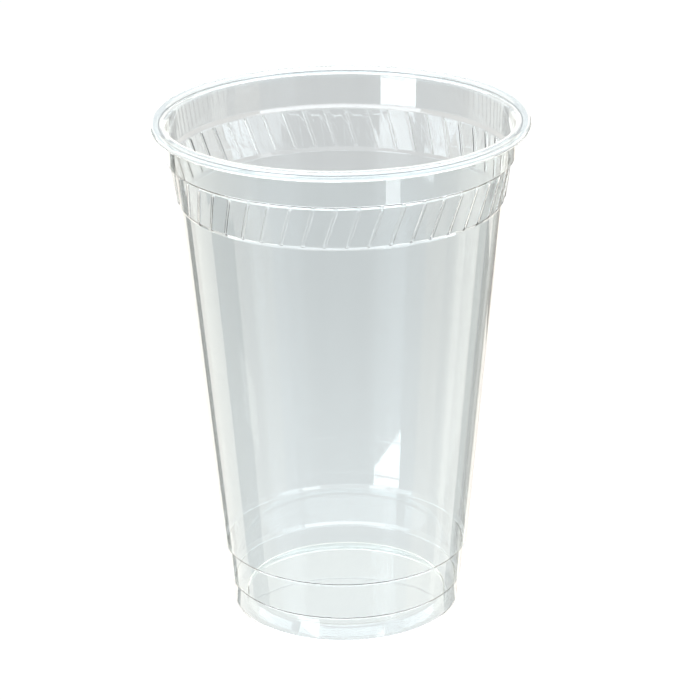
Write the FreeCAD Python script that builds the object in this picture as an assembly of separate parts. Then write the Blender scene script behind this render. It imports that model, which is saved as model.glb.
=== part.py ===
import FreeCAD
import Part
import math
import os

# Clear thermoformed drinking cup: one sheet of plastic, drawn out to a thin, even wall.
# Millimetres, +Z up the axis, origin at the centre of the ring that the cup stands on.

# Overall sizes
height = 135.6
rim_diameter = 98.0
foot_diameter = 60.6
wall = 0.32

# Rolled rim: the wall bends out over the top, then curls down and back up as a hollow bead
rim_overhang = 3.85
lip_radius = 2.0
bead_radius = 1.25

# Collar under the rim. Tapers are in degrees from the vertical.
collar_height = 10.1
collar_taper = 1.3

# Band of leaning ribs, pressed out of the wall from inside
rib_band_height = 10.4
rib_band_taper = 9.0
rib_count = 48
rib_width = 1.1
rib_crown_width = 0.5
rib_height = 0.28
rib_lean = 17.2

# Plain band between the body and the foot
lower_band_height = 9.6
lower_band_taper = 4.7

# Foot, a little wider at its bottom than at its top
foot_height = 6.8
foot_flare = 3.4

# Steps between the bands: how far each one goes in, and how tall they all are
collar_step = 1.12
rib_band_step = 0.52
body_step = 0.95
foot_step = 1.15
step_height = 0.9

# Floor, pushed up inside the flat ring that the cup stands on
floor_rise = 3.2
ring_width = 2.9
floor_slope = 20.0

# Bends on the outside face, and the most that each flat of a bend may turn, in degrees
foot_bend = 1.2
floor_bend = 0.9
flat_turn = 50.0

# The sheet is thinner where it is stretched over a rib, and the hollow behind the rib opens
# to its full width this far inside the wall's inner face
rib_wall = 0.22
hollow_run_in = 0.15

# Points of a path closer together than this are one point
same_point = 0.001


def across(length, degrees):
    """How far a wall this tall moves sideways at this angle from the vertical."""
    return length * math.tan(math.radians(degrees))


# Heights of the bands' edges
lower_band_bottom = foot_height + step_height
lower_band_top = lower_band_bottom + lower_band_height
body_bottom = lower_band_top + step_height
collar_bottom = height - collar_height
rib_band_top = collar_bottom - step_height
rib_band_bottom = rib_band_top - rib_band_height
body_top = rib_band_bottom - step_height

# Outside radii, from the rim down to the body
rim_r = rim_diameter / 2
collar_top_r = rim_r - rim_overhang
collar_bottom_r = collar_top_r - across(collar_height, collar_taper)
rib_band_top_r = collar_bottom_r - collar_step
rib_band_bottom_r = rib_band_top_r - across(rib_band_height, rib_band_taper)
body_top_r = rib_band_bottom_r - rib_band_step

# Outside radii, from the foot up to the body
foot_r = foot_diameter / 2
foot_top_r = foot_r - across(foot_height, foot_flare)
lower_band_bottom_r = foot_top_r + foot_step
lower_band_top_r = lower_band_bottom_r + across(lower_band_height, lower_band_taper)
body_bottom_r = lower_band_top_r + body_step
ring_inner_r = foot_r - ring_width
floor_r = ring_inner_r - across(floor_rise, floor_slope)


def at(r, z):
    """A point of the cup's section, in the XZ plane."""
    return FreeCAD.Vector(r, 0, z)


def skin_corners():
    """(corner, bend radius) along one face of the sheet, from the middle of the floor to the curl's end.

    It is the outside face up to the collar. Round the rim the same face is the lip's underside
    and the inside of the bead.
    """
    under_lip = height - wall
    bead = bead_radius - wall
    bead_out = rim_r - wall
    bead_in = bead_out - 2 * bead
    bead_bottom = under_lip - 2 * bead
    return [
        (at(0, floor_rise), 0),
        (at(floor_r, floor_rise), floor_bend),
        (at(ring_inner_r, 0), floor_bend),
        (at(foot_r, 0), foot_bend),
        (at(foot_top_r, foot_height), 0),
        (at(lower_band_bottom_r, lower_band_bottom), 0),
        (at(lower_band_top_r, lower_band_top), 0),
        (at(body_bottom_r, body_bottom), 0),
        (at(body_top_r, body_top), 0),
        (at(rib_band_bottom_r, rib_band_bottom), 0),
        (at(rib_band_top_r, rib_band_top), 0),
        (at(collar_bottom_r, collar_bottom), 0),
        (at(collar_top_r, under_lip), lip_radius - wall),
        (at(bead_out, under_lip), bead),
        (at(bead_out, bead_bottom), bead),
        (at(bead_in, bead_bottom), bead),
        (at(bead_in, bead_bottom + bead), 0),
    ]


def bent(corners):
    """A wire through the corners, where each bend is a few flats that touch its true arc."""
    points = [corners[0][0]]
    for (before, _), (corner, radius), (after, _) in zip(corners, corners[1:], corners[2:]):
        back = (before - corner).normalize()
        ahead = (after - corner).normalize()
        turn = math.pi - back.getAngle(ahead)
        flats = math.ceil(math.degrees(turn) / flat_turn)
        half_flat = turn / flats / 2
        centre = corner + (back + ahead).normalize() * (radius / math.cos(turn / 2))
        spoke = (corner + back * (radius * math.tan(turn / 2)) - centre) * (1 / math.cos(half_flat))
        for i in range(flats):
            swing = math.degrees(half_flat * (2 * i + 1))
            point = centre + FreeCAD.Rotation(ahead.cross(back), swing).multVec(spoke)
            if point.distanceToPoint(points[-1]) > same_point:
                points.append(point)
    points.append(corners[-1][0])
    return Part.makePolygon(points)


def sheet():
    """The cup without its ribs: the bent path thickened inward by the wall and turned about the axis."""
    section = bent(skin_corners()).makeOffset2D(wall, join=2, fill=True, openResult=True)
    return section.revolve(FreeCAD.Vector(0, 0, 0), FreeCAD.Vector(0, 0, 1), 360)


def on_rib(z):
    """Where the first rib's middle line crosses this height, on the rib band's outside face."""
    share = (z - rib_band_bottom) / rib_band_height
    r = rib_band_bottom_r + share * (rib_band_top_r - rib_band_bottom_r)
    middle_r = (rib_band_top_r + rib_band_bottom_r) / 2
    angle = (share - 0.5) * across(rib_band_height, rib_lean) / middle_r
    return FreeCAD.Vector(r * math.cos(angle), r * math.sin(angle), z)


def ridge(half_outline, bottom, top):
    """A leaning bar between two heights of the rib band.

    half_outline is (sideways, outward) from a rib's middle line on the band's outside face.
    """
    mirrored = [(-side, out) for side, out in reversed(half_outline)]
    start = on_rib(bottom)
    points = [start + FreeCAD.Vector(out, side, 0) for side, out in half_outline + mirrored]
    return Part.Face(Part.makePolygon(points + points[:1])).extrude(on_rib(top) - start)


def around(shape):
    """Copies of a shape evenly round the cup, one for each rib, the first half a pitch from +X."""
    copies = []
    for i in range(rib_count):
        copy = shape.copy()
        copy.rotate(FreeCAD.Vector(0, 0, 0), FreeCAD.Vector(0, 0, 1), (i + 0.5) * 360 / rib_count)
        copies.append(copy)
    return copies


def cup():
    """The sheet with its ribs: each one stands out of the outside face and is hollow inside."""
    rib = ridge(
        [(rib_width / 2, -wall / 2), (rib_width / 2, 0), (rib_crown_width / 2, rib_height)],
        rib_band_bottom,
        rib_band_top,
    )
    hollow = ridge(
        [(rib_width / 2 - rib_wall, -wall - hollow_run_in), (rib_crown_width / 4, rib_height - rib_wall)],
        rib_band_bottom + rib_wall,
        rib_band_top - rib_wall,
    )
    ribbed = sheet().multiFuse(around(rib))
    return ribbed.cut(Part.Compound(around(hollow))).removeSplitter().Solids[0]


os.makedirs("parts", exist_ok=True)
cup().exportStep("parts/cup.step")
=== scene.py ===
import math

import bpy
from mathutils import Euler, Matrix, Vector


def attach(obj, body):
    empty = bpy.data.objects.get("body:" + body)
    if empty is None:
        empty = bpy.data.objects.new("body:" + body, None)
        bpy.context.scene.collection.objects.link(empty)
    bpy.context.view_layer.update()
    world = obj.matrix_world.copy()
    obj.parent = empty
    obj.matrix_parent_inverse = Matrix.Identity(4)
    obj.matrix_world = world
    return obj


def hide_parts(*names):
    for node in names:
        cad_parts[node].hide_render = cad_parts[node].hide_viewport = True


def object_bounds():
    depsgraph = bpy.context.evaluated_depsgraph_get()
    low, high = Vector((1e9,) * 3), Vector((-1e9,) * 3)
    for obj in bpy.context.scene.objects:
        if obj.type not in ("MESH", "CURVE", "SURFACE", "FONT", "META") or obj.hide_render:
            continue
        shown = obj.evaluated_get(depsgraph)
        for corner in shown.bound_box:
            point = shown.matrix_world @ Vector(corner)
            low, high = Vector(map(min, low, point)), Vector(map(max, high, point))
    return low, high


# A clear plastic cup for cold drinks, standing empty on a plain pale floor.
# Metres, +Z up the cup's axis, origin at the centre of the ring that it stands on.

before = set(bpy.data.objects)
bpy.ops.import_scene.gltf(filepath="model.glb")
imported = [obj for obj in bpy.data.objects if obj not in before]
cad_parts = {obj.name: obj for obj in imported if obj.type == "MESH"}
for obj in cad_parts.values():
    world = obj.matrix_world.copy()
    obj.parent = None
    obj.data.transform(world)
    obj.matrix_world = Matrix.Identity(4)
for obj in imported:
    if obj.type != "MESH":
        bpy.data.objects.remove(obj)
built_low, built_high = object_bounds()

mm = 0.001

# The view. A long lens from a little above the cup, so that the mouth shows as an open oval
# and the sides stay almost parallel.
camera_place = Vector((0.0, -740.1 * mm, 357.2 * mm))
camera_down = 21.134
camera_right = 0.139
camera_roll = -0.645
camera_lens = 154.5
sensor_width = 36.0
sight_end = 100

aim = Euler((math.radians(90 - camera_down), 0, math.radians(-camera_right))).to_matrix()
aim = aim @ Matrix.Rotation(math.radians(camera_roll), 3, "Z")
camera = bpy.data.objects.new("camera", bpy.data.cameras.new("camera"))
camera.data.lens = camera_lens
camera.data.sensor_width = sensor_width
camera.data.clip_end = sight_end
camera.matrix_world = Matrix.Translation(camera_place) @ aim.to_4x4()
bpy.context.collection.objects.link(camera)
bpy.context.scene.camera = camera
bpy.context.scene.view_settings.view_transform = "Standard"


# The foot. One sheet of plastic is heated and drawn down into a mould to make the whole cup.
# At the bottom it forms a narrow flat ring to stand on, with the floor pushed up inside it.
wall = 0.32 * mm
foot_r = 30.3 * mm
foot_height = 6.8 * mm
foot_flare = 3.4
ring_width = 2.9 * mm
floor_rise = 3.2 * mm
floor_slope = 20.0
foot_bend = 1.2 * mm
floor_bend = 0.9 * mm


def across(length, degrees):
    """How far a wall this tall moves sideways at this angle from the vertical."""
    return length * math.tan(math.radians(degrees))


ring_inner_r = foot_r - ring_width
floor_r = ring_inner_r - across(floor_rise, floor_slope)
foot_top_r = foot_r - across(foot_height, foot_flare)

# (radius, height, bend radius) of the corners along the sheet's outside, from the floor's middle
skin = [
    (0, floor_rise, 0),
    (floor_r, floor_rise, floor_bend),
    (ring_inner_r, 0, floor_bend),
    (foot_r, 0, foot_bend),
]

# The lower band. A plain band over the foot, a little tapered, pressed out of the same sheet.
# A small rounded step joins it to the foot, and another joins it to the body.
step_height = 0.9 * mm
step_bend = 0.5 * mm
foot_step = 1.15 * mm
body_step = 0.95 * mm
lower_band_height = 9.6 * mm
lower_band_taper = 4.7

lower_band_bottom = foot_height + step_height
lower_band_top = lower_band_bottom + lower_band_height
lower_band_bottom_r = foot_top_r + foot_step
lower_band_top_r = lower_band_bottom_r + across(lower_band_height, lower_band_taper)
skin += [
    (foot_top_r, foot_height, step_bend),
    (lower_band_bottom_r, lower_band_bottom, step_bend),
    (lower_band_top_r, lower_band_top, step_bend),
    (lower_band_top_r + body_step, lower_band_top + step_height, step_bend),
]

# The body and the rib band. The body is one long plain cone. The rib band over it is steeper,
# with narrow slanted ribs pressed out of the sheet from inside, evenly round the cup.
height = built_high.z
rim_r = built_high.x
rim_overhang = 3.85 * mm
collar_height = 10.1 * mm
collar_taper = 1.3
collar_step = 1.12 * mm
rib_band_height = 10.4 * mm
rib_band_taper = 9.0
rib_band_step = 0.52 * mm
# The count is uncertain: the ribs can't be counted all round in the photo
rib_count = 48
rib_width = 1.1 * mm
rib_crown_width = 0.5 * mm
rib_height = 0.28 * mm
rib_lean = 17.2
rib_fade = 0.7 * mm

collar_bottom = height - collar_height
collar_top_r = rim_r - rim_overhang
collar_bottom_r = collar_top_r - across(collar_height, collar_taper)
rib_band_top = collar_bottom - step_height
rib_band_bottom = rib_band_top - rib_band_height
rib_band_top_r = collar_bottom_r - collar_step
rib_band_bottom_r = rib_band_top_r - across(rib_band_height, rib_band_taper)
skin += [
    (rib_band_bottom_r - rib_band_step, rib_band_bottom - step_height, step_bend),
    (rib_band_bottom_r, rib_band_bottom, step_bend),
]

# Shares of the rib band's height, closer together where the ribs fade out at its edges
rib_rows = (0.025, 0.045, 0.07, 0.2, 0.4, 0.6, 0.8, 0.93, 0.955, 0.975)
for share in rib_rows:
    r = rib_band_bottom_r + share * (rib_band_top_r - rib_band_bottom_r)
    skin.append((r, rib_band_bottom + share * rib_band_height, 0))
skin.append((rib_band_top_r, rib_band_top, step_bend))

pitch = 2 * math.pi / rib_count
middle_r = (rib_band_top_r + rib_band_bottom_r) / 2


def smooth(x):
    """Eases from 0 to 1 as x goes from 0 to 1."""
    x = min(max(x, 0), 1)
    return x * x * (3 - 2 * x)


def lean_at(z):
    """How far round the cup the ribs have moved at this height, in radians."""
    z = min(max(z, rib_band_bottom), rib_band_top)
    return across(z - (rib_band_bottom + rib_band_top) / 2, rib_lean) / middle_r


def rise(side, z):
    """How far the sheet stands out at this distance from a rib's middle line and this height."""
    flank = (rib_width - rib_crown_width) / 2
    across_rib = smooth((rib_width / 2 - abs(side)) / flank)
    along_rib = smooth((z - rib_band_bottom) / rib_fade) * smooth((rib_band_top - z) / rib_fade)
    return rib_height * across_rib * along_rib


# The collar and the rolled rim. Over the rib band the wall steps out into a plain collar, bends
# out over the top, and curls down and back up as a hollow bead that a lid presses on to.
lip_radius = 2.0 * mm
bead_radius = 1.25 * mm

under_lip = height - wall
bead = bead_radius - wall
bead_out = rim_r - wall
bead_in = bead_out - 2 * bead
bead_bottom = under_lip - 2 * bead
skin += [
    (collar_bottom_r, collar_bottom, step_bend),
    (collar_top_r, under_lip, lip_radius - wall),
    (bead_out, under_lip, bead),
    (bead_out, bead_bottom, bead),
    (bead_in, bead_bottom, bead),
    (bead_in, bead_bottom + bead, 0),
]

# The cup, as one closed sheet. Every bend of its section follows a true arc in small steps, and
# the other face lies one wall's thickness inside it. The ribs stand out and are hollow inside.
arc_step = math.radians(16)
curl_end_steps = 5

# Where the mesh has its upright lines, on each side of a rib's middle line
beside_ribs = (0.25 * mm, 0.35 * mm, 0.45 * mm, 0.55 * mm, 1.7 * mm)

# A point nearer the axis than this is on it, and a slope is measured across this much on each side
on_axis = 0.001 * mm
nudge = 0.01 * mm


def left_of(direction):
    """The direction turned a quarter to the left, which is into the cup along its outside."""
    return Vector((-direction.y, direction.x))


def rounded(corners):
    """(point, inward normal) along the corners' path, in the plane of radius and height."""
    places = [Vector(corner[:2]) for corner in corners]
    ahead = [(b - a).normalized() for a, b in zip(places, places[1:])]
    path = [(places[0], left_of(ahead[0]))]
    for (_, _, radius), here, into, out in zip(corners[1:], places[1:], ahead, ahead[1:]):
        if radius == 0:
            path.append((here, left_of(into)))
            continue
        side = 1 if into.cross(out) > 0 else -1
        angle = into.angle(out)
        start = here - into * radius * math.tan(angle / 2)
        centre = start + left_of(into) * side * radius
        steps = max(2, math.ceil(angle / arc_step))
        for i in range(steps + 1):
            inward = Matrix.Rotation(side * angle * i / steps, 2) @ left_of(into)
            path.append((centre - inward * side * radius, inward))
    path.append((places[-1], left_of(ahead[-1])))
    return path


def section():
    """(point, normal out of the plastic) round the whole section of the sheet."""
    path = rounded(skin)
    outside = [(p, -n) for p, n in path]
    inside = [(p + n * wall, n) for p, n in path]
    end, inward = path[-1]
    middle = end + inward * wall / 2
    curl_end = []
    for i in range(1, curl_end_steps):
        out = Matrix.Rotation(-math.pi * i / curl_end_steps, 2) @ -inward
        curl_end.append((middle + out * wall / 2, out))
    return outside + curl_end + inside[::-1]


def columns():
    """(angle round the cup, distance from the nearest rib's middle line), once round."""
    sides = [-side for side in reversed(beside_ribs)] + list(beside_ribs)
    middles = [(i + 0.5) * pitch for i in range(rib_count)]
    return [(middle + side / middle_r, side) for middle in middles for side in sides]


def cup_mesh():
    """The section carried round the cup over the ribs, with the true normals of its faces."""
    around = columns()
    verts, normals, rings = [], [], []
    for p, n in section():
        if p.x < on_axis:
            rings.append([len(verts)] * len(around))
            verts.append((0, 0, p.y))
            normals.append((0, 0, n.y))
            continue
        ring = []
        for angle, side in around:
            here = angle + lean_at(p.y)
            out = rise(side, p.y)
            slope_side = (rise(side + nudge, p.y) - rise(side - nudge, p.y)) / (2 * nudge)
            slope_up = (rise(side, p.y + nudge) - rise(side, p.y - nudge)) / (2 * nudge)
            slope_up -= slope_side * math.tan(math.radians(rib_lean))
            turn = Matrix.Rotation(here, 3, "Z")
            ring.append(len(verts))
            verts.append(turn @ Vector((p.x + out, 0, p.y)))
            tilted = Vector((n.x, -n.x * slope_side, n.y - n.x * slope_up))
            normals.append(turn @ tilted.normalized())
        rings.append(ring)
    faces = []
    for low, high in zip(rings, rings[1:]):
        for j in range(len(around)):
            k = (j + 1) % len(around)
            faces.append(list(dict.fromkeys([low[j], low[k], high[k], high[j]])))
    mesh = bpy.data.meshes.new("cup_sheet")
    mesh.from_pydata(verts, [], faces)
    mesh.polygons.foreach_set("use_smooth", [True] * len(mesh.polygons))
    mesh.normals_split_custom_set_from_vertices(normals)
    return mesh


cup = bpy.data.objects.new("cup_sheet", cup_mesh())
bpy.context.collection.objects.link(cup)
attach(cup, "root")
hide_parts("cup")

# The plastic. Clear and almost colourless, with a smooth gloss and long shallow waves from being
# drawn. The photo shows the rolled rim whiter, so it is taken to have a little haze, which is a
# guess, and is given a lighter tone. The lighter tone and the haze are painted light that whitens
# the rim.
plastic_roughness = 0.015
plastic_ior = 1.5
wave_scale = 90.0
wave_stretch = (1.0, 1.0, 0.25)
wave_height = 0.02 * mm
wall_tone = (0.875, 0.91, 0.914, 1)
painted_rim_tone = (0.9, 0.95, 0.965, 1)
rim_tone_start = 132.5 * mm
rim_bottom = 133.0 * mm
rim_tone_full = 133.5 * mm
rim_clearness = 0.86


def join(tree, value, socket):
    """Link an output to the socket, or put a plain value in it."""
    if isinstance(value, bpy.types.NodeSocket):
        tree.links.new(value, socket)
    else:
        socket.default_value = value


def worked(tree, operation, *values):
    """The output of a Math node."""
    node = tree.nodes.new("ShaderNodeMath")
    node.operation = operation
    for value, socket in zip(values, node.inputs):
        join(tree, value, socket)
    return node.outputs[0]


def eased(tree, value, start, end, low=0.0, high=1.0):
    """The value eased from low to high as it goes from start to end."""
    node = tree.nodes.new("ShaderNodeMapRange")
    node.interpolation_type = "SMOOTHSTEP"
    join(tree, value, node.inputs["Value"])
    join(tree, start, node.inputs["From Min"])
    join(tree, end, node.inputs["From Max"])
    join(tree, low, node.inputs["To Min"])
    join(tree, high, node.inputs["To Max"])
    return node.outputs[0]


plastic = bpy.data.materials.new("clear_plastic")
plastic.use_nodes = True
tree = plastic.node_tree
shader = tree.nodes["Principled BSDF"]
shader.inputs["Roughness"].default_value = plastic_roughness
shader.inputs["IOR"].default_value = plastic_ior
shader.inputs["Transmission Weight"].default_value = 1.0
where = tree.nodes.new("ShaderNodeTexCoord")
stretch = tree.nodes.new("ShaderNodeMapping")
stretch.inputs["Scale"].default_value = wave_stretch
tree.links.new(where.outputs["Object"], stretch.inputs["Vector"])
waves = tree.nodes.new("ShaderNodeTexNoise")
waves.inputs["Scale"].default_value = wave_scale
waves.inputs["Detail"].default_value = 1.0
tree.links.new(stretch.outputs["Vector"], waves.inputs["Vector"])
bump = tree.nodes.new("ShaderNodeBump")
bump.inputs["Strength"].default_value = 1.0
bump.inputs["Distance"].default_value = wave_height
tree.links.new(waves.outputs["Fac"], bump.inputs["Height"])
tree.links.new(bump.outputs["Normal"], shader.inputs["Normal"])
height_up = tree.nodes.new("ShaderNodeSeparateXYZ")
tree.links.new(where.outputs["Object"], height_up.inputs[0])
# Toward the top the base colour turns to the lighter rim tone, painted light that whitens the rim
tint = tree.nodes.new("ShaderNodeMix")
tint.data_type = "RGBA"
at_rim = eased(tree, height_up.outputs["Z"], rim_tone_start, rim_tone_full)
tree.links.new(at_rim, tint.inputs["Factor"])
tint.inputs["A"].default_value = wall_tone
tint.inputs["B"].default_value = painted_rim_tone
tree.links.new(tint.outputs["Result"], shader.inputs["Base Color"])
cup.data.materials.append(plastic)

# A less clear copy of the plastic for the rim, painted light that makes the rim whiter
whitened_rim = plastic.copy()
whitened_rim.name = "rim_plastic"
shader = whitened_rim.node_tree.nodes["Principled BSDF"]
shader.inputs["Transmission Weight"].default_value = rim_clearness
cup.data.materials.append(whitened_rim)
for face in cup.data.polygons:
    if face.center.z > rim_bottom:
        face.material_index = 1

# The photo shows no shadow and no light thrown on the floor
cup.visible_diffuse = False
cup.visible_shadow = False

# The floor. A plain white table top. Beside the cup it lets reflections through to the light tent.
# Through the plastic it is painted a soft grey shade, palest under the cup and white again far away.
reach = 6.0
floor_white = 0.9
painted_shade_under_cup = 0.12
painted_shade_behind_cup = 0.34

# Distances from the cup's axis. The painted grey shade grows from the first to the second, stays,
# and then fades from the third to the fourth.
painted_shade_starts = -0.06
painted_shade_full = 0.29
painted_shade_fades = 0.6
painted_shade_gone = 0.8

# Inside the first of these two radii, the floor lets through only this share of a reflection
cup_edge = (29 * mm, 31 * mm)
clear_under_cup = 0.2

floor_mesh = bpy.data.meshes.new("floor")
edge = [(-reach, -reach, 0), (reach, -reach, 0), (reach, reach, 0), (-reach, reach, 0)]
floor_mesh.from_pydata(edge, [], [(0, 1, 2, 3)])
floor = bpy.data.objects.new("floor", floor_mesh)
bpy.context.collection.objects.link(floor)

pale = bpy.data.materials.new("pale_floor")
pale.use_nodes = True
tree = pale.node_tree
shader = tree.nodes["Principled BSDF"]
shader.inputs["Roughness"].default_value = 1.0
shader.inputs["Specular IOR Level"].default_value = 0.0
path = tree.nodes.new("ShaderNodeLightPath")
where = tree.nodes.new("ShaderNodeTexCoord")
away = tree.nodes.new("ShaderNodeVectorMath")
away.operation = "LENGTH"
tree.links.new(where.outputs["Object"], away.inputs[0])
distance = away.outputs["Value"]
# Painted shade: the floor is darkened by this grey only where it is seen through the plastic
near = eased(tree, distance, painted_shade_starts, painted_shade_full, painted_shade_under_cup, painted_shade_behind_cup)
far = eased(tree, distance, painted_shade_fades, painted_shade_gone, 0.0, painted_shade_behind_cup)
grey = worked(tree, "SUBTRACT", near, far)
seen_through = worked(tree, "MINIMUM", path.outputs["Transmission Depth"], 1.0)
painted_shade_seen_through = worked(tree, "MULTIPLY", grey, seen_through)
white = worked(tree, "SUBTRACT", floor_white, painted_shade_seen_through)
tree.links.new(white, shader.inputs["Base Color"])
clear = tree.nodes.new("ShaderNodeBsdfTransparent")
mix = tree.nodes.new("ShaderNodeMixShader")
reflected = worked(tree, "MINIMUM", path.outputs["Glossy Depth"], 1.0)
beside = eased(tree, distance, cup_edge[0], cup_edge[1], clear_under_cup, 1.0)
tree.links.new(worked(tree, "MULTIPLY", reflected, beside), mix.inputs["Fac"])
tree.links.new(shader.outputs[0], mix.inputs[1])
tree.links.new(clear.outputs[0], mix.inputs[2])
tree.links.new(mix.outputs[0], tree.nodes["Material Output"].inputs["Surface"])
floor_mesh.materials.append(pale)

# The light. The cup stands in a tent of white cloth, which lights everything evenly. In the
# plastic's reflections it is brighter toward the top, and warmer at the sides and behind.
tent_light = 1.15
warm = (1.05, 1.0, 0.93)
cool = (0.98, 1.0, 1.02)
cool_to = math.radians(40)
warm_from = math.radians(110)

# Light in reflections, with the steepness of the direction that it comes from, from -1 straight
# down to 1 straight up
low_light = 1.25
low_to = -0.32
high_light = 1.6
high_from = -0.28
top_extra = 0.5
top_from = 0.55
top_full = 0.7

world = bpy.data.worlds.new("light_tent")
bpy.context.scene.world = world
world.use_nodes = True
tree = world.node_tree
path = tree.nodes.new("ShaderNodeLightPath")
where = tree.nodes.new("ShaderNodeTexCoord")
way = tree.nodes.new("ShaderNodeSeparateXYZ")
tree.links.new(where.outputs["Generated"], way.inputs[0])
forward = worked(tree, "MULTIPLY", way.outputs["Y"], -1.0)
azimuth = worked(tree, "ARCTAN2", way.outputs["X"], forward)
sideways = eased(tree, worked(tree, "ABSOLUTE", azimuth), cool_to, warm_from)
warmth = tree.nodes.new("ShaderNodeMix")
warmth.data_type = "RGBA"
tree.links.new(sideways, warmth.inputs["Factor"])
warmth.inputs["A"].default_value = (*cool, 1)
warmth.inputs["B"].default_value = (*warm, 1)
level = eased(tree, way.outputs["Z"], low_to, high_from, low_light, high_light)
overhead = eased(tree, way.outputs["Z"], top_from, top_full, 0.0, top_extra)
light = worked(tree, "ADD", level, overhead)
reflected = worked(tree, "MINIMUM", path.outputs["Glossy Depth"], 1.0)
extra = worked(tree, "SUBTRACT", light, tent_light)
strength = worked(tree, "MULTIPLY_ADD", reflected, extra, tent_light)
tone = tree.nodes.new("ShaderNodeMix")
tone.data_type = "RGBA"
tree.links.new(reflected, tone.inputs["Factor"])
tone.inputs["A"].default_value = (1, 1, 1, 1)
tree.links.new(warmth.outputs["Result"], tone.inputs["B"])
background = tree.nodes["Background"]
tree.links.new(tone.outputs["Result"], background.inputs["Color"])
tree.links.new(strength, background.inputs["Strength"])

# The soft boxes and the grey cards. They stand far off in front of the cloth and show only in the
# cup's reflections, where the boxes make the bright strips and the cards draw the dark edges.
panel_distance = 40.0
panel_turn = 2.5

# Each panel stands this much nearer than the one before it, so it hides what it overlaps
panel_gap = 0.1

cloth = bpy.data.materials.new("box_front")
cloth.use_nodes = True
tree = cloth.node_tree
tree.nodes.remove(tree.nodes["Principled BSDF"])
given = tree.nodes.new("ShaderNodeObjectInfo")
path = tree.nodes.new("ShaderNodeLightPath")
glow = tree.nodes.new("ShaderNodeEmission")
clear = tree.nodes.new("ShaderNodeBsdfTransparent")
mix = tree.nodes.new("ShaderNodeMixShader")
tree.links.new(given.outputs["Color"], glow.inputs["Color"])
tree.links.new(worked(tree, "MINIMUM", path.outputs["Glossy Depth"], 1.0), mix.inputs["Fac"])
tree.links.new(clear.outputs[0], mix.inputs[1])
tree.links.new(glow.outputs[0], mix.inputs[2])
tree.links.new(mix.outputs[0], tree.nodes["Material Output"].inputs["Surface"])
cloth.cycles.emission_sampling = "NONE"


def panel(name, verts, faces, light, tone):
    """A lit box front or a dark card, which only reflections show."""
    mesh = bpy.data.meshes.new(name)
    mesh.from_pydata(verts, [], faces)
    mesh.materials.append(cloth)
    piece = bpy.data.objects.new(name, mesh)
    bpy.context.collection.objects.link(piece)
    piece.color = (*(light * part for part in tone), 1)
    piece.visible_camera = False
    piece.visible_diffuse = False
    piece.visible_shadow = False


# name: where its middle stands, in degrees round from the camera's side; half its width in degrees;
# its lowest and its highest edge, from -1 straight down to 1 straight up; its light; its tone
panels = {
    "below": (0, 180, -1, -0.95, 3.8, cool),
    "below_far": (180, 60, -0.95, -0.74, 4.5, cool),
    "below_left": (-90, 30, -0.95, -0.74, 3.0, cool),
    "below_right": (90, 30, -0.95, -0.74, 3.0, cool),
    "below_near": (0, 60, -0.95, -0.74, 1.6, cool),
    "low_front": (0, 60, -0.74, -0.63, 3.5, cool),
    "left_wing": (-110, 32, -0.16, 0.02, 2.4, warm),
    "right_wing": (110, 32, -0.16, 0.02, 2.4, warm),
    "left_rib_light": (-88, 26, -0.06, 0.3, 5.0, cool),
    "right_rib_light": (88, 26, -0.06, 0.3, 5.0, cool),
    "front_grey": (3, 27, -0.3, 0.06, 1.3, cool),
    "front_rib_light": (0, 40, 0.06, 0.3, 5.0, cool),
    "left_box": (-40, 12.5, -0.342, -0.257, 4.2, cool),
    "left_box_bright": (-40, 12.5, -0.257, -0.225, 9.5, cool),
    "left_box_middle": (-40, 12.5, -0.225, -0.07, 2.0, cool),
    "left_box_top": (-40, 12.5, -0.07, 0.6, 5.6, cool),
    "right_box": (54, 9, -0.342, -0.3, 3.3, cool),
    "right_box_middle": (66, 10, -0.3, -0.16, 2.0, warm),
    "right_box_side": (90, 7, -0.26, -0.235, 2.4, warm),
    "right_box_top": (54, 12, -0.07, 0.6, 3.5, cool),
    "front_strip": (34, 5, -0.38, -0.342, 4.2, cool),
    "left_low": (-56, 13, -0.62, -0.4, 1.5, cool),
    "right_low": (42, 6, -0.62, -0.4, 1.45, cool),
    "right_low_2": (74, 9, -0.62, -0.4, 1.5, warm),
    "right_low_3": (99, 4, -0.62, -0.4, 1.65, warm),
    "left_card": (-147, 6, -0.62, 0.1, 0.15, warm),
    "left_grey": (-98, 12, -0.62, -0.4, 0.45, cool),
    "left_side": (-111, 14, -0.3, -0.16, 2.1, warm),
    "right_card": (136, 16, -0.62, -0.38, 0.35, warm),
    "right_card_top": (153, 10, -0.38, 0.1, 0.4, warm),
    "far_grey": (180, 70, 0.25, 0.38, 0.9, cool),
}
for i, (name, (middle, half, lowest, highest, light, tone)) in enumerate(panels.items()):
    distance = panel_distance - panel_gap * i
    steps = math.ceil(half / panel_turn)
    rises = [math.asin(lowest), math.asin(highest)]
    verts = []
    for j in range(steps + 1):
        turn = math.radians(middle - half + 2 * half * j / steps)
        for up in rises:
            level = distance * math.cos(up)
            verts.append((level * math.sin(turn), -level * math.cos(turn), distance * math.sin(up)))
    faces = [(2 * j, 2 * j + 2, 2 * j + 3, 2 * j + 1) for j in range(steps)]
    panel(name, verts, faces, light, tone)

# A wide box over the cup, whose reflections draw the bright arcs of the steps at the back
strip = [(-20, -8.3, 25), (20, -8.3, 25), (20, 3.8, 25), (-20, 3.8, 25)]
overhead_light = 5.5
panel("overhead_box", strip, [(0, 1, 2, 3)], overhead_light, cool)
